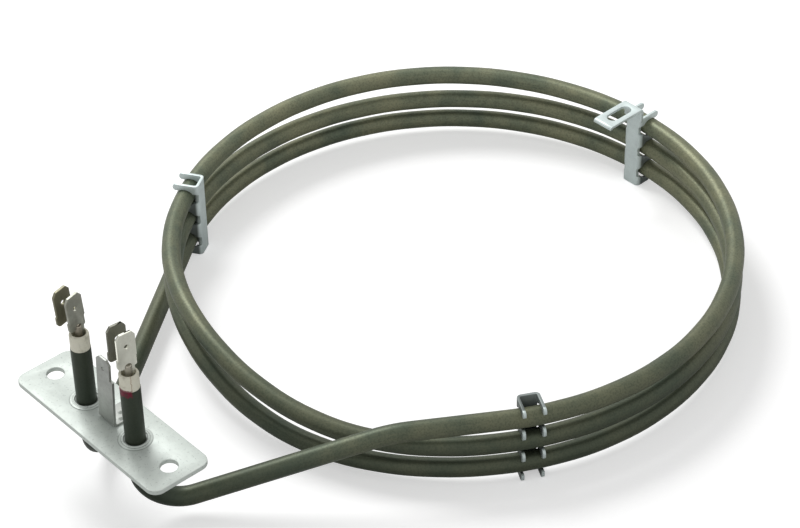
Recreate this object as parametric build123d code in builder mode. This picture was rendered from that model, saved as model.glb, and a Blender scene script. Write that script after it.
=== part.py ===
from build123d import *
import math
import os

# Ring heating element of a fan oven. Millimetres. The origin is midway between the two fixing
# holes, on the face of the flange that seats against the oven's back panel. X runs along the
# flange, Y points to the ring, and Z follows the terminals.

# ---- sheath tube and its filling
tube_d = 6.3            # outer diameter of the metal sheath
tube_wall = 0.6
packing_gap = 0.02      # between the sheath, its filling and the core
core_d = 2.2            # terminal pin, and the wound heating wire that carries on from it
wire_bore = 1.3         # inside the winding of the heating wire

# ---- ring
ring_r = 93.5           # from the ring's axis to the middle of the tube
ring_x = -4.2           # ring's axis from the middle of the flange
ring_gap = 50.3         # from the middle of the flange to the near side of the ring
ring_y = ring_r + ring_gap
coil_pitch = 9.05       # from one turn to the next
turn_count = 3          # levels of tube at each clip
top_coil_drop = 8.45    # middle of the top turn below the flange's face
rise_middle = (-96.0, -85.0)        # azimuths where a turn steps up to the next level
rise_span = 56.0                    # degrees of arc that a step takes
rise_dip = (0.85, 0.82)             # the springy tube dips before a step
rise_peak = (0.8, 1.15)             # and overshoots after it
rise_ease = 36.0                    # half the arc of that dip or peak
bow_left = (0.2, -0.4, 1.1)         # how far each turn bows up between the left and back clips
bow_right = (0.4, -0.35, -0.85)     # the same between the back and front clips
ring_corners = 81                   # corners of the polygon that the tube's middle rounds off
corner_share = 0.85                 # share of each polygon side that its two arcs take up
run_corners = 9                     # corners in one swept run

# ---- legs, from the ring to the flange
leg_spacing = 24.4      # between the two upright ends
elbow_r = 12.9
elbow_drop_a = 24.7     # corner of leg a's middle line below the flange's face
elbow_drop_b = 29.2
leg_b_level = 34.0      # leg b runs level from the ring before it bends down
leg_b_bend_r = 45.0
leg_b_side = -0.6       # sideways shift of that bend
sheath_top = 20.7       # end of the sheath above the flange's face

# ---- flange
flange_length = 70.4
flange_width = 21.8
flange_t = 1.6
flange_corner_r = 3.7
fixing_spacing = 56.7
fixing_hole_d = 5.5

# ---- collars that hold the sheath in the flange
collar_d = 10.4
collar_rise = 0.15      # above the flange's face
collar_neck_d = 9.0     # through the flange
collar_below = 0.9      # below the flange
collar_rim_d = 8.3      # raised rim beside the sheath
collar_rim_t = 0.5
collar_rim_rise = 0.4
collar_groove_rise = 0.05           # floor of the groove between rim and sheath
collar_gap = 0.03       # collar to sheath, and neck to flange

# ---- ceramic end seals
seal_d = 6.1
seal_height = 5.5
seal_edge_r = 0.7
seal_recess_d = 4.5
seal_recess_depth = 3.6
seal_spigot_length = 2.0
seal_gap = 0.04         # spigot to sheath, and pin to seal

# ---- pins and double spade terminals
pin_top = 29.0          # above the flange's face
pin_bottom = -10.0      # where the heating wire takes over
tab_w = 6.3
tab_t = 0.8
tab_top = 40.9          # heights above the flange's face
tab_shoulder = 31.8
tab_chamfer_w = 1.2
tab_chamfer_h = 1.5
tab_hole_d = 1.65
tab_hole_drop = 5.0     # from the tab's tip
base_w = 7.0
base_bottom = 28.1
base_corner_r = 1.3
fold_pitch = 5.0        # between the middles of the two blades
fold_r = 1.0            # middle of the strip in the two bends
notch_d = 2.5
notch_rise = 0.3
foot_w = 1.0            # leg of the terminal that is welded beside the pin
foot_gap = 0.04
foot_bottom = 23.2
terminal_turn = {"a": 9.0, "b": -5.0}      # degrees about the pin
terminal_lean = {"a": 4.5, "b": 0.0}       # degrees across the blades

# ---- earth tab, spot-welded to the flange
earth_base_w = 7.6
earth_x = 0.4
earth_y = -1.5
earth_t = 0.8
earth_shoulder = 18.4
earth_top = 26.0
earth_lean = 4.5        # degrees towards +X
earth_chamfer = 1.5
earth_hole_d = 1.4
earth_hole_drop = 4.4
earth_foot = 8.2        # length of the foot along Y
earth_fold_r = 1.0

# ---- spacer clips
clip_azimuth = {"clip_left": 212.0, "clip_back": 91.3, "clip_front": -28.0}
clip_shift = {"clip_left": 0.4, "clip_back": 0.0, "clip_front": 0.6}    # outwards on the tubes
clip_w = 7.4
clip_t = 0.9
clip_fold_r = 1.5       # outside of the two folds
clip_web = 5.4          # ring-side face of the web, from the middle of the tube
clip_over = 5.2         # above the top tube's middle
clip_under = 5.5        # below the lowest tube's middle
clip_reach = 3.6        # tips of the fingers, outside the middle of the tube
clip_foot_reach = {"clip_left": 1.6, "clip_back": 1.3, "clip_front": 2.9}    # below the tubes
notch_clear = 0.15      # clip to tube
notch_mouth = 5.5       # narrower than the tube, which snaps in
notch_inner = 4.1       # innermost point of a notch, from the middle of the tube
bite_r = 2.0            # smaller relief holes at the inner ends of the notches
bite_inner = 5.9        # bite into the folds, this deep
bite_w = 0.9            # and this far in from the sides
finger_r = 1.5          # rounded tips: between the tubes,
horn_r = 1.1            # over the top tube
foot_r = 1.4            # and below the lowest one
bracket_w = 8.0         # mounting tab of the back clip
bracket_rise = 1.4      # top of the tab above the flange's face
bracket_length = 15.9   # from the web's ring-side face to the tab's end
bracket_slot_w = 4.2
bracket_slot_length = 10.6
bracket_slot_middle = 7.4           # from the web's ring-side face
bracket_lip = 0.8                   # turned-down lip at the tab's end

os.makedirs("parts", exist_ok=True)

base_a = Vector(-leg_spacing / 2, 0, 0)
base_b = Vector(leg_spacing / 2, 0, 0)
tube_bore = tube_d - 2 * tube_wall
lowest_turn_z = -top_coil_drop - (turn_count - 1) * coil_pitch


def tangent_azimuth(base, side):
    """Azimuth where a straight leg from the base touches the ring; side is -1 or 1."""
    away = base - Vector(ring_x, ring_y, 0)
    apart = math.hypot(away.X, away.Y)
    return math.degrees(math.atan2(away.Y, away.X)) + side * math.degrees(math.acos(ring_r / apart))


def on_ring(azimuth, radius, z):
    a = math.radians(azimuth)
    return Vector(ring_x + radius * math.cos(a), ring_y + radius * math.sin(a), z)


def smooth(t):
    t = min(max(t, 0.0), 1.0)
    return t * t * (3 - 2 * t)


def swell(azimuth, start, end):
    """0 outside two azimuths, rising to 1 midway between them."""
    t = (azimuth - start) / (end - start)
    return math.sin(math.pi * t) ** 2 if 0 < t < 1 else 0.0


start_azimuth = tangent_azimuth(base_a, -1) % 360
end_azimuth = tangent_azimuth(base_b, 1) - 360 * (turn_count - 1)


def turn_height(azimuth):
    """Height of the tube's middle, where the azimuth counts down from the start of the lowest turn."""
    z = lowest_turn_z
    for level in range(turn_count):
        turned = azimuth + 360 * level
        if level < turn_count - 1:
            middle = rise_middle[level]
            before, after = middle + rise_span / 2, middle - rise_span / 2
            z += coil_pitch * smooth((middle - turned) / rise_span + 0.5)
            z -= rise_dip[level] * swell(turned, before + rise_ease, before - rise_ease)
            z += rise_peak[level] * swell(turned, after + rise_ease, after - rise_ease)
        z += bow_left[level] * swell(turned, clip_azimuth["clip_left"], clip_azimuth["clip_back"])
        z += bow_right[level] * swell(turned, clip_azimuth["clip_back"], clip_azimuth["clip_front"])
    return z


def tube_corners(cut):
    """Corners of the tube's middle line and the radii that round them; cut shortens both ends."""
    step = (start_azimuth - end_azimuth) / ring_corners
    corner_r = ring_r / math.cos(math.radians(step / 2))
    corners = [base_a + Vector(0, 0, sheath_top - cut), base_a - Vector(0, 0, elbow_drop_a)]
    radii = [elbow_r]
    for i in range(ring_corners):
        azimuth = start_azimuth - (i + 0.5) * step
        corners.append(on_ring(azimuth, corner_r, turn_height(azimuth)))
        radii.append(ring_r * corner_share)
    # leg b leaves level, bends down and ends in the second elbow
    leave = on_ring(end_azimuth, ring_r, 0)
    run = (base_b - leave).normalized()
    across = Vector(run.Y, -run.X, 0)
    top_z = lowest_turn_z + (turn_count - 1) * coil_pitch
    corners.append(leave + run * leg_b_level + across * leg_b_side + Vector(0, 0, top_z))
    radii.append(leg_b_bend_r)
    corners += [base_b - Vector(0, 0, elbow_drop_b), base_b + Vector(0, 0, sheath_top - cut)]
    radii.append(elbow_r)
    return corners, radii


def tube_runs(cut):
    """The middle line cut into runs that meet halfway along polygon sides."""
    corners, radii = tube_corners(cut)
    runs = []
    for first in range(0, len(radii), run_corners):
        last = min(first + run_corners, len(radii))
        run = corners[first + 1 : last + 1]
        start = corners[0] if first == 0 else (corners[first] + corners[first + 1]) / 2
        end = corners[-1] if last == len(radii) else (corners[last] + corners[last + 1]) / 2
        runs.append(([start] + run + [end], radii[first:last]))
    return runs


def make_tube(name, outer_r, inner_r, cut):
    """One hollow layer of the element, swept run by run."""
    with BuildPart() as tube:
        for corners, radii in tube_runs(cut):
            with BuildLine() as run:
                FilletPolyline(*corners, radius=radii)
            with BuildSketch(Plane(corners[0], z_dir=corners[1] - corners[0])):
                Circle(outer_r)
                Circle(inner_r, mode=Mode.SUBTRACT)
            sweep(path=run.line)
    tube.part.label = name
    export_step(tube.part, "parts/" + name + ".step")


# ---- the metal sheath, the pressed magnesia in it, and the heating wire in that; the wire is
# the hollow outer shape of its winding
make_tube("sheath", tube_d / 2, tube_bore / 2, 0)
filling_cut = seal_spigot_length + packing_gap
make_tube("insulation", tube_bore / 2 - packing_gap, core_d / 2 + packing_gap, filling_cut)
make_tube("heating_wire", core_d / 2, wire_bore / 2, sheath_top - pin_bottom)

# ---- flange
with BuildPart() as flange:
    with BuildSketch(Plane.XY.offset(-flange_t)):
        RectangleRounded(flange_length, flange_width, flange_corner_r)
        with GridLocations(fixing_spacing, 0, 2, 1):
            Circle(fixing_hole_d / 2, mode=Mode.SUBTRACT)
        with GridLocations(leg_spacing, 0, 2, 1):
            Circle(collar_neck_d / 2 + collar_gap, mode=Mode.SUBTRACT)
    extrude(amount=flange_t)
flange.part.label = "flange"
export_step(flange.part, "parts/flange.step")


def add_ends(side, base):
    """Collar, seal, pin and terminal of one upright end."""
    upright = Plane(origin=base, x_dir=(1, 0, 0), z_dir=(0, -1, 0))
    sheath_side = tube_d / 2 + collar_gap

    with BuildPart() as collar:
        with BuildSketch(upright):
            with BuildLine():
                Polyline(
                    (sheath_side, -flange_t - collar_below),
                    (collar_neck_d / 2, -flange_t - collar_below),
                    (collar_neck_d / 2, 0),
                    (collar_d / 2, 0),
                    (collar_d / 2, collar_rise),
                    (collar_rim_d / 2, collar_rise),
                    (collar_rim_d / 2 - collar_rim_t / 4, collar_rim_rise),
                    (collar_rim_d / 2 - collar_rim_t * 3 / 4, collar_rim_rise),
                    (collar_rim_d / 2 - collar_rim_t, collar_groove_rise),
                    (sheath_side, collar_groove_rise),
                    close=True,
                )
            make_face()
        revolve(axis=Axis(base, (0, 0, 1)))
    collar.part.label = "collar_" + side
    export_step(collar.part, "parts/collar_" + side + ".step")

    seal_top = sheath_top + seal_height
    with BuildPart() as seal:
        with BuildSketch(Plane.XY.offset(sheath_top)):
            with Locations((base.X, base.Y)):
                Circle(seal_d / 2)
        extrude(amount=seal_height)
        fillet(seal.edges().group_by(Axis.Z)[-1], seal_edge_r)
        with BuildSketch(Plane.XY.offset(sheath_top - seal_spigot_length)):
            with Locations((base.X, base.Y)):
                Circle(tube_bore / 2 - seal_gap)
        extrude(amount=seal_spigot_length)
        with BuildSketch(Plane.XY.offset(sheath_top - seal_spigot_length)):
            with Locations((base.X, base.Y)):
                Circle(core_d / 2 + seal_gap)
        extrude(amount=seal_height + seal_spigot_length, mode=Mode.SUBTRACT)
        with BuildSketch(Plane.XY.offset(seal_top - seal_recess_depth)):
            with Locations((base.X, base.Y)):
                Circle(seal_recess_d / 2)
        extrude(amount=seal_recess_depth, mode=Mode.SUBTRACT)
    seal.part.label = "seal_" + side
    export_step(seal.part, "parts/seal_" + side + ".step")

    with BuildPart() as pin:
        with BuildSketch(Plane.XY.offset(pin_bottom)):
            with Locations((base.X, base.Y)):
                Circle(core_d / 2)
        extrude(amount=pin_top - pin_bottom)
        chamfer(pin.edges().group_by(Axis.Z)[-1], 0.2)
    pin.part.label = "pin_" + side
    export_step(pin.part, "parts/pin_" + side + ".step")

    # x of these planes runs across the blades; the blade plane and the strip plane also lean
    turn, lean = math.radians(terminal_turn[side]), math.radians(terminal_lean[side])
    up = Vector(0, 0, 1)
    across = Vector(-math.sin(turn), math.cos(turn), 0)
    normal = Vector(math.cos(turn), math.sin(turn), 0)
    leaned_across = across * math.cos(lean) + up * math.sin(lean)
    leaned_up = up * math.cos(lean) - across * math.sin(lean)
    seat = base + up * base_bottom
    blade = Plane(origin=seat - normal * (tab_t / 2), x_dir=leaned_across, z_dir=normal)
    strip = Plane(origin=seat, x_dir=leaned_across, z_dir=leaned_up)
    foot = Plane(origin=base - normal * (tab_t / 2), x_dir=across, z_dir=normal)
    tip, shoulder = tab_top - base_bottom, tab_shoulder - base_bottom
    half = tab_w / 2
    fold_at = base_w / 2 - tab_t / 2
    foot_start = core_d / 2 + foot_gap

    with BuildPart() as terminal:
        # the folded strip, seen from above: front blade, web, back blade
        with BuildSketch(strip):
            with BuildLine():
                FilletPolyline(
                    (-base_w / 2, 0),
                    (fold_at, 0),
                    (fold_at, fold_pitch),
                    (-base_w / 2, fold_pitch),
                    radius=fold_r,
                )
            trace(line_width=tab_t)
        extrude(amount=shoulder)
        # both tabs, drilled, with chamfered tips
        with BuildSketch(blade, blade.offset(-fold_pitch)):
            with BuildLine():
                Polyline(
                    (-half, base_corner_r),
                    (-half, tip - tab_chamfer_h),
                    (-half + tab_chamfer_w, tip),
                    (half - tab_chamfer_w, tip),
                    (half, tip - tab_chamfer_h),
                    (half, shoulder),
                    (half - fold_r, shoulder - tab_t),
                    (half - fold_r, base_corner_r),
                    close=True,
                )
            make_face()
            with Locations((0, tip - tab_hole_drop)):
                Circle(tab_hole_d / 2, mode=Mode.SUBTRACT)
        extrude(amount=tab_t)
        fillet(
            terminal.edges()
            .filter_by(lambda e: abs(e.tangent_at(0).dot(normal)) > 0.99)
            .filter_by(lambda e: (e.center() - seat).dot(leaned_across) < -base_w / 2 + 0.01)
            .filter_by(lambda e: (e.center() - seat).dot(leaned_up) < 0.01),
            base_corner_r,
        )
        # notch over the pin's end
        with BuildSketch(blade):
            with Locations((0, notch_rise)):
                Circle(notch_d / 2)
            Rectangle(notch_d, 2 * notch_rise)
        extrude(amount=tab_t, mode=Mode.SUBTRACT)
        # leg into the seal's recess
        with BuildSketch(foot):
            with BuildLine():
                Polyline(
                    (foot_start, foot_bottom),
                    (foot_start + foot_w, foot_bottom),
                    (foot_start + foot_w, sheath_top + seal_height + foot_w / 2),
                    (fold_at - fold_r, base_bottom + base_corner_r / 2),
                    (fold_at - fold_r, base_bottom + notch_d / 2),
                    (foot_start, base_bottom + notch_d / 2),
                    close=True,
                )
            make_face()
        extrude(amount=tab_t)
    terminal.part.label = "terminal_" + side
    export_step(terminal.part, "parts/terminal_" + side + ".step")


add_ends("a", base_a)
add_ends("b", base_b)

# ---- earth tab
earth_left = earth_x - earth_base_w / 2
earth_right = earth_x + earth_base_w / 2


def leaned(x, z):
    return (x + z * math.tan(math.radians(earth_lean)), z)


earth_face = Plane(origin=(0, earth_y, 0), x_dir=(1, 0, 0), z_dir=(0, -1, 0))
with BuildPart() as earth_tab:
    with BuildSketch(earth_face.offset(-earth_t / 2)):
        with BuildLine():
            Polyline(
                leaned(earth_left, earth_t),
                leaned(earth_left, earth_top - earth_chamfer),
                leaned(earth_left + earth_chamfer, earth_top),
                leaned(earth_left + tab_w - earth_chamfer, earth_top),
                leaned(earth_left + tab_w, earth_top - earth_chamfer),
                leaned(earth_left + tab_w, earth_shoulder),
                leaned(earth_right, earth_shoulder),
                leaned(earth_right, earth_t),
                close=True,
            )
        make_face()
        with Locations(leaned(earth_left + tab_w / 2, earth_top - earth_hole_drop)):
            Circle(earth_hole_d / 2, mode=Mode.SUBTRACT)
    extrude(amount=earth_t)
    with BuildSketch(Plane(origin=(earth_left, earth_y, 0), x_dir=(0, 1, 0), z_dir=(1, 0, 0))):
        with BuildLine():
            FilletPolyline(
                (0, earth_fold_r + earth_t),
                (0, earth_t / 2),
                (earth_foot, earth_t / 2),
                radius=earth_fold_r,
            )
        trace(line_width=earth_t)
    extrude(amount=earth_base_w)
earth_tab.part.label = "earth_tab"
export_step(earth_tab.part, "parts/earth_tab.step")


def make_clip(name, with_bracket):
    """A folded channel whose two notched flanges hold the turns apart."""
    azimuth = clip_azimuth[name]
    a = math.radians(azimuth)
    outward = Vector(math.cos(a), math.sin(a), 0)
    along = Vector(-math.sin(a), math.cos(a), 0)
    middle = on_ring(azimuth, ring_r + clip_shift[name], 0)
    top = -top_coil_drop + clip_over
    bottom = lowest_turn_z - clip_under
    levels = [turn_height(azimuth - 360 * level) for level in range(turn_count)]
    # x of this plane points outward from the ring's middle, y is up, and it faces along the tube
    side = Plane(origin=middle, x_dir=outward, z_dir=outward.cross(Vector(0, 0, 1)))
    plan = Plane(origin=middle + Vector(0, 0, bottom), x_dir=outward, z_dir=(0, 0, 1))
    hole = tube_d / 2 + notch_clear
    foot_reach = clip_foot_reach[name]
    with BuildPart() as clip:
        # channel seen from above
        with BuildSketch(plan):
            with BuildLine():
                FilletPolyline(
                    (clip_reach, -clip_w / 2 + clip_t / 2),
                    (-clip_web + clip_t / 2, -clip_w / 2 + clip_t / 2),
                    (-clip_web + clip_t / 2, clip_w / 2 - clip_t / 2),
                    (clip_reach, clip_w / 2 - clip_t / 2),
                    radius=clip_fold_r - clip_t / 2,
                )
            trace(line_width=clip_t)
        extrude(amount=top - bottom)
        # notches, open outwards past a narrower mouth
        with BuildSketch(side.offset(-clip_w)):
            for z in levels:
                with Locations((-clip_shift[name], z), (hole - notch_inner, z)):
                    Circle(hole)
                with Locations((-clip_shift[name], z)):
                    slack = notch_inner - hole - clip_shift[name]
                    Rectangle(slack, 2 * hole, align=(Align.MAX, Align.CENTER))
                with Locations((clip_reach, z)):
                    Rectangle(2 * clip_reach, notch_mouth)
            # the foot below the lowest tube is shorter than the fingers
            with Locations((clip_reach + foot_reach, lowest_turn_z - clip_under)):
                Rectangle(2 * clip_reach, 2 * clip_under - notch_mouth)
        extrude(amount=2 * clip_w, mode=Mode.SUBTRACT)
        # bites that the relief holes leave in the folds
        for start in (clip_w / 2 - bite_w, -clip_w / 2 - bite_w):
            with BuildSketch(side.offset(start)):
                for z in levels:
                    with Locations((-bite_inner + bite_r, z)):
                        Circle(bite_r)
            extrude(amount=2 * bite_w, mode=Mode.SUBTRACT)
        for reach, low, high, radius in (
            (clip_reach, levels[-1], top, horn_r),
            (clip_reach, levels[0], levels[-1], finger_r),
            (foot_reach, bottom, bottom, foot_r),
        ):
            tips = (
                clip.edges()
                .filter_by(lambda e: abs(e.tangent_at(0).dot(along)) > 0.99)
                .filter_by(lambda e: abs((e.center() - middle).dot(outward) - reach) < 0.01)
                .filter_by(lambda e: low - 0.01 < e.center().Z < high + 0.01)
            )
            fillet(tips, radius)
        if with_bracket:
            # the web carries on upwards and turns in as the mounting tab
            with BuildSketch(side.offset(-bracket_w / 2)):
                with BuildLine():
                    FilletPolyline(
                        (-clip_web + clip_t / 2, top - clip_t),
                        (-clip_web + clip_t / 2, bracket_rise - clip_t / 2),
                        (-clip_web - bracket_length + clip_t / 2, bracket_rise - clip_t / 2),
                        (-clip_web - bracket_length + clip_t / 2, bracket_rise - clip_t / 2 - bracket_lip),
                        radius=(clip_t, clip_t * 0.6),
                    )
                trace(line_width=clip_t)
            extrude(amount=bracket_w)
            slot = middle + outward * (-clip_web - bracket_slot_middle)
            slot += Vector(0, 0, bracket_rise - 2 * clip_t)
            with BuildSketch(Plane(origin=slot, x_dir=outward, z_dir=(0, 0, 1))):
                SlotOverall(bracket_slot_length, bracket_slot_w)
            extrude(amount=3 * clip_t, mode=Mode.SUBTRACT)
    clip.part.label = name
    export_step(clip.part, "parts/" + name + ".step")


make_clip("clip_left", False)
make_clip("clip_front", False)
make_clip("clip_back", True)
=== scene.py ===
import bpy
import bmesh
import math
from mathutils import Matrix, Vector


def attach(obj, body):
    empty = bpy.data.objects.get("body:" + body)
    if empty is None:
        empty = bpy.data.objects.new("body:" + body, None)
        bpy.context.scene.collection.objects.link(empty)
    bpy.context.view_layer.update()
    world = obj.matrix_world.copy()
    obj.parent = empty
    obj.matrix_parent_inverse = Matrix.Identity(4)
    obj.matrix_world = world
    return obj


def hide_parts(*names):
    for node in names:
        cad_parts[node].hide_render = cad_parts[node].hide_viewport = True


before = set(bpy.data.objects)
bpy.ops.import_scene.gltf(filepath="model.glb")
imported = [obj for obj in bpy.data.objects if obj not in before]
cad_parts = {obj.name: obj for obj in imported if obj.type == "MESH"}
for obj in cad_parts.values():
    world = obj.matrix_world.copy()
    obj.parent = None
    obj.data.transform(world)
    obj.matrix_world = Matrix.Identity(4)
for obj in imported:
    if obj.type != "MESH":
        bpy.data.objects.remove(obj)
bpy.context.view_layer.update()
millimetre = 0.001


class Wire:  # one socket of a node, with arithmetic
    def __init__(self, finish, socket):
        self.finish, self.socket = finish, socket

    def math(self, operation, *values):
        return self.finish.node("ShaderNodeMath", {"operation": operation}, dict(enumerate(values)))

    def __add__(self, other):
        return self.math("ADD", self, other)

    def __sub__(self, other):
        return self.math("SUBTRACT", self, other)

    def __rsub__(self, other):
        return self.math("SUBTRACT", other, self)

    def __mul__(self, other):
        return self.math("MULTIPLY", self, other)

    def __truediv__(self, other):
        return self.math("DIVIDE", self, other)

    def __pow__(self, other):
        return self.math("POWER", self, other)

    __radd__ = __add__
    __rmul__ = __mul__

    def cosine(self):
        return self.math("COSINE", self)

    def sine(self):
        return self.math("SINE", self)

    def size(self):
        return self.math("ABSOLUTE", self)

    def most(self, other):
        return self.math("MAXIMUM", self, other)

    def ramp(self, low, high, fromValue=0.0, toValue=1.0):  # smooth step between two levels
        settings = {"interpolation_type": "SMOOTHSTEP"}
        return self.finish.node("ShaderNodeMapRange", settings,
                                {0: self, 1: low, 2: high, 3: fromValue, 4: toValue})


class Finish:  # one material and its nodes
    def __init__(self, name, tree=None):
        self.material = None
        if tree is None:
            self.material = bpy.data.materials.new(name)
            self.material.use_nodes = True
            tree = self.material.node_tree
            tree.nodes.clear()
        self.tree = tree

    def node(self, kind, settings=None, inputs=None, output=0):
        new = self.tree.nodes.new(kind)
        for key, value in (settings or {}).items():
            setattr(new, key, value)
        for key, value in (inputs or {}).items():
            if isinstance(value, Wire):
                self.tree.links.new(value.socket, new.inputs[key])
            elif isinstance(value, tuple) and len(value) == 3 and len(new.inputs[key].default_value) == 4:
                new.inputs[key].default_value = (*value, 1.0)
            else:
                new.inputs[key].default_value = value
        return Wire(self, new.outputs[output]) if len(new.outputs) else None

    def place(self):  # Object coordinates in millimetres
        coordinates = self.node("ShaderNodeTexCoord", output="Object")
        return self.node("ShaderNodeVectorMath", {"operation": "SCALE"}, {0: coordinates, "Scale": 1000.0})

    def parts(self, vector):
        split = self.node("ShaderNodeSeparateXYZ", None, {0: vector})
        outputs = split.socket.node.outputs
        return [Wire(self, outputs[i]) for i in range(3)]

    def join(self, x, y, z):
        return self.node("ShaderNodeCombineXYZ", None, {0: x, 1: y, 2: z})

    def noise(self, vector, scale, detail=3.0, roughness=0.5):
        return self.node("ShaderNodeTexNoise", None,
                         {"Vector": vector, "Scale": scale, "Detail": detail, "Roughness": roughness})

    def blend(self, factor, first, second):  # colours
        return self.node("ShaderNodeMix", {"data_type": "RGBA"}, {0: factor, 6: first, 7: second},
                         output=2)

    def bump(self, height, strength, distance):
        return self.node("ShaderNodeBump", None,
                         {"Height": height, "Strength": strength, "Distance": distance})

    def surface(self, values):
        shader = self.node("ShaderNodeBsdfPrincipled", None, values)
        self.node("ShaderNodeOutputMaterial", None, {"Surface": shader})
        return self.material


# the tube's path, in millimetres and degrees
tube = {
    "outerRadius": 3.15,
    "boreRadius": 2.57,     # clears the filling
    "ringRadius": 93.5,
    "ringCentre": (-4.2, 143.8),
    "levels": (-26.55, -17.5, -8.45),       # heights of the three turns at the clips
    "riseMiddle": (-96.0, -85.0),           # azimuths where a turn steps up
    "riseSpan": 56.0,
    "riseDip": (0.85, 0.82),                # the tube dips before a step
    "risePeak": (0.8, 1.15),                # and overshoots after it
    "riseEase": 36.0,
    "clips": (212.0, 91.3, -28.0),          # azimuths that the turns pass in order
    "bowLeftToBack": (0.2, -0.4, 1.1),      # how far each turn bows up between two clips
    "bowBackToFront": (0.4, -0.35, -0.85),
    "legSpacing": 24.4,
    "elbowRadius": 12.9,
    "elbowDropA": 24.7,
    "elbowDropB": 29.2,
    "legBLevel": 34.0,                      # leg b runs level before it bends down
    "legBBendRadius": 45.0,
    "legBSide": -0.6,
    "top": 20.7,
    "corners": 81,
    "cornerShare": 0.85,
    "sides": 10,                            # the curve's bevel resolution
    "arcStep": 0.045,                       # at most this far from one station to the next, in radians
    "nearest": 0.05,                        # stations closer than this are merged
    "rimAngle": 45.0,                       # edges sharper than this stay sharp
}


def onRing(azimuth, radius, z):
    a = math.radians(azimuth)
    cx, cy = tube["ringCentre"]
    return Vector((cx + radius * math.cos(a), cy + radius * math.sin(a), z))


def smoothStep(t):
    t = min(max(t, 0.0), 1.0)
    return t * t * (3 - 2 * t)


def swell(azimuth, start, end):
    t = (azimuth - start) / (end - start)
    return math.sin(math.pi * t) ** 2 if 0 < t < 1 else 0.0


def tangentAzimuth(base, side):
    away = base - Vector((*tube["ringCentre"], 0))
    spread = math.degrees(math.acos(tube["ringRadius"] / away.length))
    return math.degrees(math.atan2(away.y, away.x)) + side * spread


def turnHeight(azimuth):
    z = tube["levels"][0]
    left, back, front = tube["clips"]
    for level in range(3):
        turned = azimuth + 360 * level
        if level < 2:
            middle = tube["riseMiddle"][level]
            ease = tube["riseEase"]
            before, after = middle + tube["riseSpan"] / 2, middle - tube["riseSpan"] / 2
            step = tube["levels"][level + 1] - tube["levels"][level]
            z += step * smoothStep((middle - turned) / tube["riseSpan"] + 0.5)
            z -= tube["riseDip"][level] * swell(turned, before + ease, before - ease)
            z += tube["risePeak"][level] * swell(turned, after + ease, after - ease)
        z += tube["bowLeftToBack"][level] * swell(turned, left, back)
        z += tube["bowBackToFront"][level] * swell(turned, back, front)
    return z


def roundedPath(corners, radii):  # points along straight runs joined by tangent arcs
    points = [corners[0]]
    for before, corner, after, radius in zip(corners, corners[1:], corners[2:], radii):
        inward = (before - corner).normalized()
        outward = (after - corner).normalized()
        half = inward.angle(outward) / 2
        if math.pi / 2 - half < 1e-4:
            points.append(corner)
            continue
        centre = corner + (inward + outward).normalized() * (radius / math.sin(half))
        reach = radius / math.tan(half)
        first, last = corner + inward * reach - centre, corner + outward * reach - centre
        turn = first.angle(last)
        count = max(2, math.ceil(turn / tube["arcStep"]))
        for i in range(count + 1):
            t = i / count
            arm = (first * math.sin((1 - t) * turn) + last * math.sin(t * turn)) / math.sin(turn)
            points.append(centre + arm)
    points.append(corners[-1])
    kept = [points[0]]
    for point in points[1:]:
        if (point - kept[-1]).length > tube["nearest"]:
            kept.append(point)
    return kept


def tubePath():
    baseA = Vector((-tube["legSpacing"] / 2, 0, 0))
    baseB = Vector((tube["legSpacing"] / 2, 0, 0))
    startAzimuth = tangentAzimuth(baseA, -1) % 360
    endAzimuth = tangentAzimuth(baseB, 1) - 720
    step = (startAzimuth - endAzimuth) / tube["corners"]
    side = tube["ringRadius"] / math.cos(math.radians(step / 2))
    corners = [baseA + Vector((0, 0, tube["top"])), baseA - Vector((0, 0, tube["elbowDropA"]))]
    radii = [tube["elbowRadius"]]
    for i in range(tube["corners"]):
        azimuth = startAzimuth - (i + 0.5) * step
        corners.append(onRing(azimuth, side, turnHeight(azimuth)))
        radii.append(tube["ringRadius"] * tube["cornerShare"])
    leave = onRing(endAzimuth, tube["ringRadius"], 0)
    run = (baseB - leave).normalized()
    across = Vector((run.y, -run.x, 0))
    bend = leave + run * tube["legBLevel"] + across * tube["legBSide"]
    corners.append(bend + Vector((0, 0, tube["levels"][2])))
    radii.append(tube["legBBendRadius"])
    corners += [baseB - Vector((0, 0, tube["elbowDropB"])), baseB + Vector((0, 0, tube["top"]))]
    radii.append(tube["elbowRadius"])
    return roundedPath(corners, radii)


def tubeWall(name, points, radius):  # open-ended mesh of one wall
    curve = bpy.data.curves.new(name, "CURVE")
    curve.dimensions = "3D"
    curve.bevel_depth = radius * millimetre
    curve.bevel_resolution = tube["sides"]
    spline = curve.splines.new("POLY")
    spline.points.add(len(points) - 1)
    for spot, point in zip(spline.points, points):
        spot.co = (*(point * millimetre), 1.0)
    swept = bpy.data.objects.new(name, curve)
    bpy.context.scene.collection.objects.link(swept)
    bpy.context.view_layer.update()
    mesh = bpy.data.meshes.new_from_object(swept.evaluated_get(bpy.context.evaluated_depsgraph_get()))
    bpy.data.objects.remove(swept)
    return mesh


def sweptTube(name, points, radius, bore):
    bm = bmesh.new()
    bm.from_mesh(tubeWall(name + "Bore", points, bore))
    bmesh.ops.reverse_faces(bm, faces=bm.faces)
    bm.from_mesh(tubeWall(name + "Skin", points, radius))
    for tip in (points[0], points[-1]):
        rims = [e for e in bm.edges if e.is_boundary
                and (e.verts[0].co - tip * millimetre).length < 2 * radius * millimetre]
        bmesh.ops.bridge_loops(bm, edges=rims)
    bmesh.ops.recalc_face_normals(bm, faces=bm.faces)
    mesh = bpy.data.meshes.new(name)
    bm.to_mesh(mesh)
    bm.free()
    piece = bpy.data.objects.new(name, mesh)
    bpy.context.scene.collection.objects.link(piece)
    mesh.shade_smooth()
    mesh.set_sharp_from_angle(angle=math.radians(tube["rimAngle"]))
    return piece


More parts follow.
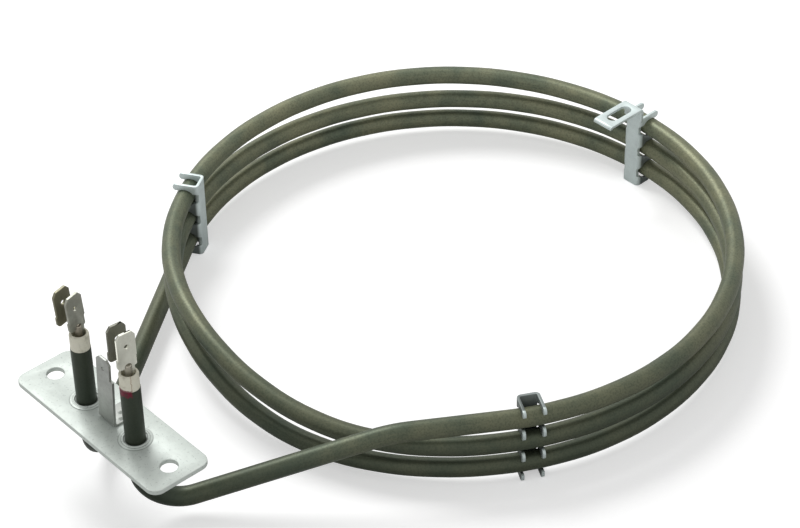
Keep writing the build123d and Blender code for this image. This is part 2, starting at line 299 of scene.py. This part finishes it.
path = tubePath()
pathLength = sum((b - a).length for a, b in zip(path, path[1:]))
sheath = sweptTube("sheathTube", path, tube["outerRadius"], tube["boreRadius"])
print("sheath swept,", len(path), "stations,", round(pathLength), "mm,",
      len(sheath.data.polygons), "faces, maps", [layer.name for layer in sheath.data.uv_layers])

softEdges = {   # node: (edge radius in mm, segments)
    "flange": (0.30, 3),
    "collar_a": (0.15, 2),
    "collar_b": (0.15, 2),
    "terminal_a": (0.12, 2),
    "terminal_b": (0.12, 2),
    "earth_tab": (0.12, 2),
    "clip_left": (0.14, 2),
    "clip_front": (0.14, 2),
    "clip_back": (0.14, 2),
}
softening = {
    "mergeWithin": 1e-6,    # metres
    "flatAngle": 0.6,       # degrees: faces flatter than this to each other become one
    "bevelAngle": 38.0,     # edges sharper than this are rounded
    "sharpAngle": 32.0,     # and those still sharper than this are shaded sharp
}


def softened(node, edgeRadius, segments):
    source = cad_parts[node]
    bm = bmesh.new()
    bm.from_mesh(source.data)
    bmesh.ops.remove_doubles(bm, verts=bm.verts, dist=softening["mergeWithin"])
    flatAngle = math.radians(softening["flatAngle"])
    bmesh.ops.dissolve_limit(bm, angle_limit=flatAngle, verts=bm.verts, edges=bm.edges)
    bevelAngle = math.radians(softening["bevelAngle"])
    sharp = [e for e in bm.edges if len(e.link_faces) == 2 and e.calc_face_angle(0) > bevelAngle]
    bmesh.ops.bevel(bm, geom=sharp, offset=edgeRadius * millimetre, offset_type="OFFSET", affect="EDGES",
                    segments=segments, profile=0.5, material=-1, clamp_overlap=True)
    bmesh.ops.recalc_face_normals(bm, faces=bm.faces)
    mesh = bpy.data.meshes.new(node + "Soft")
    bm.to_mesh(mesh)
    bm.free()
    mesh.shade_smooth()
    mesh.set_sharp_from_angle(angle=math.radians(softening["sharpAngle"]))
    piece = bpy.data.objects.new(node + "Soft", mesh)
    bpy.context.scene.collection.objects.link(piece)
    return piece


softPieces = {node: softened(node, *size) for node, size in softEdges.items()}
print("softened", len(softPieces), "pieces")

sheathLook = {
    "olive": (0.096, 0.124, 0.086),
    "gold": (0.236, 0.240, 0.148),
    "dark": (0.026, 0.034, 0.026),
    "metallic": 0.35,
    "roughness": 0.44,
    "specular": 0.25,
    "darkReachA": (45.0, 160.0),    # from each end, in millimetres
    "darkReachB": (65.0, 140.0),
    "paintedShadeSide": (0.75, -0.66),      # painted shade: the ring is darker towards this side, most on the lower turns
    "paintedShadeReach": (-40.0, 85.0),
    "paintedShadeColour": (0.027, 0.040, 0.027),
    "paintedShadeHeights": (-19.0, -9.0, 0.7, 0.4),     # lower and upper level, and how much painted shade at each
    "paintedShadeWander": 40.0,
    "streaks": (2.0, 4.0, 0.6),     # scale, detail and roughness of each noise
    "streakStretch": (3.0, 0.03),   # round the tube, and along it
    "mottling": (0.045, 4.0, 0.6),
    "grain": (1.6, 2.0, 0.6),
    "bump": (0.12, 0.0001),
}
paintMark = {   # dab of paint on the seam between sheath and seal of the second upright end
    "colour": (0.17, 0.012, 0.035),
    "axis": (12.2, 0.0),
    "towards": (-0.10, -0.99),
    "reach": (0.7, 1.5),            # how far round the tube it goes
    "sheathHeights": (18.5, 19.1),
    "sealHeights": (21.2, 21.6),
    "beyondX": (5.0, 8.0),          # keeps it off the first upright end
    "wander": (0.9, 3.0, 0.6),
    "drip": (0.5, 2.0, 0.5),
    "dripStretch": (2.2, 0.35),     # across, and down the tube
    "dripLength": 5.0,
}


def paintSide(f, x, y):
    towardsX, towardsY = paintMark["towards"]
    axisX, axisY = paintMark["axis"]
    return ((x - axisX) * towardsX + (y - axisY) * towardsY).ramp(*paintMark["reach"])


def sheathFinish():
    f = Finish("oliveOxide")
    place = f.place()
    x, y, z = f.parts(place)
    uv = f.parts(f.node("ShaderNodeUVMap"))
    around = uv[1] * (2 * math.pi)
    along = uv[0] * pathLength
    roundStretch, alongStretch = sheathLook["streakStretch"]
    streakPlace = f.join(around.cosine() * roundStretch, around.sine() * roundStretch, along * alongStretch)
    streaks = f.noise(streakPlace, *sheathLook["streaks"])
    mottling = f.noise(place, *sheathLook["mottling"])
    grain = f.noise(place, *sheathLook["grain"])
    golden = (mottling * 1.6 - 0.35 + streaks * 0.35).ramp(0.2, 0.95)
    colour = f.blend(golden, sheathLook["olive"], sheathLook["gold"])
    colour = f.blend(grain.ramp(0.42, 0.66, 0.0, 0.30), colour, sheathLook["dark"])
    darkA = along.ramp(*sheathLook["darkReachA"], 0.85, 0.0)
    darkB = (pathLength - along).ramp(*sheathLook["darkReachB"], 0.85, 0.0)
    colour = f.blend(darkA.most(darkB), colour, sheathLook["dark"])
    # painted shade: darker towards the front side of the ring, most on the lower turns
    ringX, ringY = tube["ringCentre"]
    sideX, sideY = sheathLook["paintedShadeSide"]
    wandering = (mottling - 0.5) * sheathLook["paintedShadeWander"]
    paintedShadeMask = ((x - ringX) * sideX + (y - ringY) * sideY + wandering).ramp(*sheathLook["paintedShadeReach"])
    colour = f.blend(paintedShadeMask * z.ramp(*sheathLook["paintedShadeHeights"]), colour, sheathLook["paintedShadeColour"])
    wander = f.noise(place, *paintMark["wander"])
    acrossStretch, downStretch = paintMark["dripStretch"]
    drip = f.noise(f.join(x * acrossStretch, y * acrossStretch, z * downStretch), *paintMark["drip"])
    level = z + (drip - 0.5) * paintMark["dripLength"]
    paint = paintSide(f, x, y) * level.ramp(*paintMark["sheathHeights"]) * x.ramp(*paintMark["beyondX"])
    colour = f.blend(paint * wander.ramp(0.25, 0.55, 0.35, 0.95), colour, paintMark["colour"])
    roughness = streaks * 0.16 + grain * 0.10 + sheathLook["roughness"] - 0.13
    normal = f.bump(streaks * 0.6 + grain * 0.4, *sheathLook["bump"])
    return f.surface({"Base Color": colour, "Metallic": sheathLook["metallic"], "Roughness": roughness,
                      "Specular IOR Level": sheathLook["specular"], "Normal": normal})


zincLook = {"bright": (0.61, 0.665, 0.62), "smudge": (0.55, 0.60, 0.56), "fleck": (0.36, 0.40, 0.37),
            "metallic": 0.15, "roughness": 0.48}
clipLook = {
    "bright": (0.71, 0.80, 0.785),
    "smudge": (0.60, 0.68, 0.67),
    "metallic": 0.35,
    "roughness": 0.46,
    "shade": (0.07, 0.082, 0.075),  # painted shade between and behind the tubes
    "darkened": (-4.4, -3.4),       # where that begins, outwards from the middle of the tube
    "tips": (2.4, 3.2),             # and where it ends
    "topStrip": (-7.5, -6.0),       # heights above which all but the front one stay bright
    "frontClip": ((120.0, 95.0), (20.0, 30.0)),     # the front clip, painted with shade over its body: its side of the ring, along y and x
}
terminalLookA = {
    "bright": (0.44, 0.45, 0.39),
    "smudge": (0.30, 0.30, 0.25),
    "metallic": 0.7,
    "roughness": 0.44,
    "shade": (0.19, 0.18, 0.115),
    "pinX": -12.2,
}
terminalLookB = {
    "bright": (0.78, 0.79, 0.69),
    "smudge": (0.66, 0.66, 0.57),
    "metallic": 0.3,
    "roughness": 0.46,
    "shade": (0.075, 0.075, 0.045),
    "pinX": 12.2,
}
earthLook = {
    "bright": (0.44, 0.46, 0.43),
    "smudge": (0.33, 0.34, 0.32),
    "metallic": 0.7,
    "roughness": 0.44,
    "welds": ((0.6, 3.4), (3.0, 1.7)),
    "weldRadius": 0.85,
    "footTop": (1.5, 2.0),          # the welds mark only the foot, below these heights
}
platingMarks = {    # grime and painted shade in the grooves and gaps round each upright: middle and half width of the dark rings, and how dark they are
    "axes": 12.2,
    "rings": ((3.40, 0.42, 0.75), (4.42, 0.16, 0.55), (5.30, 0.16, 0.45)),
    "ringHeights": (-0.6, -0.1),    # only on the upper face
    "grimeAndShade": (0.10, 0.115, 0.10),
    "smudge": (0.11, 4.0, 0.6),     # scale, detail and roughness of each noise
    "blotch": (0.35, 5.0, 0.7),
    "scratches": (1.3, 3.0, 0.65),
    "speck": (1.1, 2.0, 0.7),
    "bump": (0.14, 0.0001),
}
sealLook = {"clay": (0.78, 0.76, 0.63), "dust": (0.52, 0.50, 0.40), "stain": (0.30, 0.17, 0.09)}


def zincFinish(name, look):
    f = Finish(name)
    place = f.place()
    x, y, z = f.parts(place)
    smudge = f.noise(place, *platingMarks["smudge"])
    blotch = f.noise(place, *platingMarks["blotch"])
    scratches = f.noise(f.join(x * 0.10 + y * 0.55, y * 0.10 - x * 0.45, z), *platingMarks["scratches"])
    speck = f.noise(place, *platingMarks["speck"])
    colour = f.blend((smudge * 0.6 + blotch * 0.4).ramp(0.36, 0.68), look["bright"], look["smudge"])
    colour = f.blend(speck.ramp(0.58, 0.70, 0.0, 0.7), colour, look.get("fleck", look["smudge"]))
    height = scratches + speck * 0.4
    if "pinX" in look:      # the blade away from the pin stays darker
        colour = f.blend((x - look["pinX"]).ramp(-2.2, -0.9, 0.85, 0.0), colour, look["shade"])
    elif "shade" in look:   # painted shade on the fingers and feet round the tubes, but not their tips, and over the body of the front clip
        ringX, ringY = tube["ringCentre"]
        outwards = ((x - ringX) ** 2.0 + (y - ringY) ** 2.0) ** 0.5 - tube["ringRadius"]
        inside, tips, (frontY, frontX) = look["darkened"], look["tips"], look["frontClip"]
        fingers = outwards.ramp(*inside) * outwards.ramp(*tips, 0.85, 0.0)
        fingers = fingers * z.ramp(*look["topStrip"], 1.0, 0.0)
        front = y.ramp(*frontY) * x.ramp(*frontX) * outwards.ramp(*tips, 0.92, 0.15)
        colour = f.blend(fingers.most(front), colour, look["shade"])
    elif "welds" in look:   # spot welds on the foot
        for weldX, weldY in look["welds"]:
            apart = ((x - weldX) ** 2.0 + (y - weldY) ** 2.0) ** 0.5 + speck * 1.2 - 0.6
            dent = (apart / look["weldRadius"]).ramp(0.6, 1.3, 1.0, 0.0)
            dent = dent * z.ramp(*look["footTop"], 1.0, 0.0)
            colour = f.blend(dent * (blotch + 0.2), colour, platingMarks["grimeAndShade"])
            height = height - dent
    else:
        # grime and painted shade in the grooves and gaps round each upright
        apart = (((x.size() - platingMarks["axes"]) ** 2.0) + y ** 2.0) ** 0.5
        for middle, half, strength in platingMarks["rings"]:
            ring = (apart - middle).size().ramp(half * 0.4, half, strength, 0.0)
            ring = ring * z.ramp(*platingMarks["ringHeights"])
            colour = f.blend(ring * (blotch + 0.5), colour, platingMarks["grimeAndShade"])
    roughness = smudge * 0.22 + scratches * 0.14 + look["roughness"] - 0.18
    return f.surface({"Base Color": colour, "Metallic": look["metallic"], "Roughness": roughness,
                      "Normal": f.bump(height, *platingMarks["bump"])})


def sealFinish(marked):
    f = Finish("beigeCeramicMarked" if marked else "beigeCeramic")
    place = f.place()
    x, y, z = f.parts(place)
    dust = f.noise(place, 0.5, 4.0, 0.6)
    colour = f.blend(dust.ramp(0.45, 0.8), sealLook["clay"], sealLook["dust"])
    if marked:
        wander = f.noise(place, 0.8, 3.0, 0.6)
        line = (x * 0.60 + y * 0.80 + wander * 0.7 - 8.3).size()
        colour = f.blend(line.ramp(0.04, 0.20, 0.6, 0.0), colour, sealLook["stain"])
        paint = paintSide(f, x, y) * (z + wander * 1.2 - 0.6).ramp(*paintMark["sealHeights"], 0.9, 0.0)
        colour = f.blend(paint, colour, paintMark["colour"])
    return f.surface({"Base Color": colour, "Roughness": 0.62, "Normal": f.bump(dust, 0.15, 0.0002)})


def plainFinish(name, colour, metallic, roughness):
    f = Finish(name)
    return f.surface({"Base Color": colour, "Metallic": metallic, "Roughness": roughness})


def dress(piece, material):
    piece.data.materials.clear()
    piece.data.materials.append(material)


zinc = zincFinish("zincPlate", zincLook)
galvanised = zincFinish("galvanisedSheet", clipLook)
finishes = {
    "flange": zinc, "collar_a": zinc, "collar_b": zinc,
    "terminal_a": zincFinish("nickelGrey", terminalLookA),
    "terminal_b": zincFinish("nickelPale", terminalLookB),
    "earth_tab": zincFinish("zincTab", earthLook),
    "clip_left": galvanised, "clip_front": galvanised, "clip_back": galvanised,
}
for node, material in finishes.items():
    dress(softPieces[node], material)
dress(sheath, sheathFinish())
kept = {
    "seal_a": sealFinish(False),
    "seal_b": sealFinish(True),
    "pin_a": plainFinish("pinMetal", (0.34, 0.31, 0.25), 0.7, 0.42),
    "pin_b": plainFinish("pinMetalPale", (0.42, 0.40, 0.33), 0.6, 0.42),
    "insulation": plainFinish("magnesia", (0.80, 0.79, 0.76), 0.0, 0.9),
    "heating_wire": plainFinish("resistanceWire", (0.40, 0.38, 0.36), 1.0, 0.35),
}
for node, material in kept.items():
    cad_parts[node].data.materials.clear()
    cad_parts[node].data.materials.append(material)
print("finishes set")

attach(sheath, "root")
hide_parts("sheath")
for node, piece in softPieces.items():
    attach(piece, "root")
    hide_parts(node)

studio = {
    "floorHeight": -0.0321,
    "floorSize": 12.0,
    "worldDiffuse": 0.46,
    "floorSeen": 0.80,      # floor's colour and glow as the camera sees it
    "floorGlow": 0.45,
    "floorDull": 0.75,      # and its colour as the part sees it
    "lamps": {     # name: (place, aim, size, power)
        "key": ((-0.78, 0.22, 0.95), (0.0, 0.12, -0.03), 0.60, 9.5),
        "fill": ((0.30, -0.80, 0.90), (0.0, 0.10, 0.0), 0.60, 0.6),
    },
    "cameraPlace": (0.48129, -0.30575, 0.50220),
    "cameraAim": (-0.01135, 0.13003, -0.0175),
    "cameraRoll": -0.923,
    "lens": 112.895,
    "shift": (-0.00986, 0.0),
    "sensorWidth": 36.0,
    "clipRange": (0.05, 30.0),
}


def makeFloor():
    bm = bmesh.new()
    bmesh.ops.create_grid(bm, x_segments=1, y_segments=1, size=studio["floorSize"] / 2)
    bmesh.ops.translate(bm, verts=bm.verts, vec=(0, 0, studio["floorHeight"]))
    mesh = bpy.data.meshes.new("floor")
    bm.to_mesh(mesh)
    bm.free()
    floor = bpy.data.objects.new("floor", mesh)
    bpy.context.scene.collection.objects.link(floor)
    f = Finish("whiteFloor")
    rays = f.node("ShaderNodeLightPath")
    seen = Wire(f, rays.socket.node.outputs["Is Camera Ray"])
    matt = f.node("ShaderNodeBsdfDiffuse", None, {"Color": (studio["floorSeen"],) * 3})
    glow = f.node("ShaderNodeEmission", None, {"Color": (1.0, 1.0, 1.0), "Strength": studio["floorGlow"]})
    both = f.node("ShaderNodeAddShader", None, {0: matt, 1: glow})
    dull = f.node("ShaderNodeBsdfDiffuse", None, {"Color": (studio["floorDull"],) * 3})
    mixed = f.node("ShaderNodeMixShader", None, {0: seen, 1: dull, 2: both})
    f.node("ShaderNodeOutputMaterial", None, {"Surface": mixed})
    floor.data.materials.append(f.material)
    return floor


def makeWorld():
    world = bpy.data.worlds.new("studio")
    world.use_nodes = True
    world.node_tree.nodes.clear()
    bpy.context.scene.world = world
    f = Finish("studio", world.node_tree)
    outputs = f.node("ShaderNodeLightPath").socket.node.outputs
    shown = Wire(f, outputs["Is Camera Ray"]) + Wire(f, outputs["Is Glossy Ray"])
    shown = shown + Wire(f, outputs["Is Transmission Ray"])
    strength = shown.ramp(0.0, 1.0, studio["worldDiffuse"], 1.0)
    background = f.node("ShaderNodeBackground", None, {"Color": (1.0, 1.0, 1.0), "Strength": strength})
    f.node("ShaderNodeOutputWorld", None, {"Surface": background})


def makeLamps():
    for name, (place, aim, size, power) in studio["lamps"].items():
        data = bpy.data.lights.new(name, "AREA")
        data.shape = "DISK"
        data.size = size
        data.energy = power
        lamp = bpy.data.objects.new(name, data)
        lamp.location = place
        lamp.rotation_euler = (Vector(aim) - Vector(place)).to_track_quat("-Z", "Y").to_euler()
        bpy.context.scene.collection.objects.link(lamp)


def makeCamera():
    data = bpy.data.cameras.new("camera")
    data.sensor_width = studio["sensorWidth"]
    data.sensor_fit = "HORIZONTAL"
    data.lens = studio["lens"]
    data.shift_x, data.shift_y = studio["shift"]
    data.clip_start, data.clip_end = studio["clipRange"]
    camera = bpy.data.objects.new("camera", data)
    place, aim = Vector(studio["cameraPlace"]), Vector(studio["cameraAim"])
    turned = (aim - place).to_track_quat("-Z", "Y").to_matrix()
    turned = turned @ Matrix.Rotation(math.radians(studio["cameraRoll"]), 3, "Z")
    camera.matrix_world = Matrix.Translation(place) @ turned.to_4x4()
    bpy.context.scene.collection.objects.link(camera)
    bpy.context.scene.camera = camera


makeFloor()
makeWorld()
makeLamps()
makeCamera()
bpy.context.scene.view_settings.view_transform = "Standard"
print("studio set")
